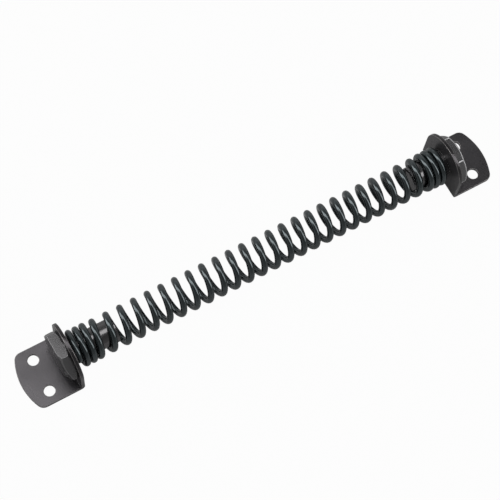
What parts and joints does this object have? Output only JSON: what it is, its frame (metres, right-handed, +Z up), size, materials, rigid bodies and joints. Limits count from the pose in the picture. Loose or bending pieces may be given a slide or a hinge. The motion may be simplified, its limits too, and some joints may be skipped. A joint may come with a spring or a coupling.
{
  "type": "gate spring closer",
  "caption": "Torsion spring gate closer: a black coil spring gripped on hexagon-headed plugs that pass through two bent-sheet brackets with screw holes.",
  "frame": {"origin": "middle of the closer on the mounting plane", "axes": "+X along the spring towards the right bracket, +Z up from the mounting plane"},
  "size_m": [0.35, 0.04, 0.0411],
  "materials": {
    "bracket_coat": "satin black coat on steel sheet",
    "plug_coat": "satin black coat on the hexagon plugs",
    "spring_coat": "gloss black coat on spring wire"
  },
  "bodies": {
    "left_bracket": {"left_bracket": "bracket_coat"},
    "left_plug": {"left_plug": "plug_coat", "spring": "spring_coat"},
    "right_plug": {"right_plug": "plug_coat"},
    "right_bracket": {"right_bracket": "bracket_coat"}
  },
  "joints": [
    {"name": "left_plug_rock", "type": "hinge", "parent": "left_bracket", "child": "left_plug", "pos_m": [-0.1408, 0, 0.0196], "axis": [1, 0, 0], "range_deg": [0, 16]},
    {"name": "spring_twist", "type": "hinge", "parent": "left_plug", "child": "right_plug", "pos_m": [0, 0, 0.0196], "axis": [-1, 0, 0], "range_deg": [0, 135], "stiffness_Nm_per_rad": 2.2, "deforming": ["spring"]},
    {"name": "right_bracket_rock", "type": "hinge", "parent": "right_plug", "child": "right_bracket", "pos_m": [0.1408, 0, 0.0196], "axis": [1, 0, 0], "range_deg": [-6, 10]}
  ]
}
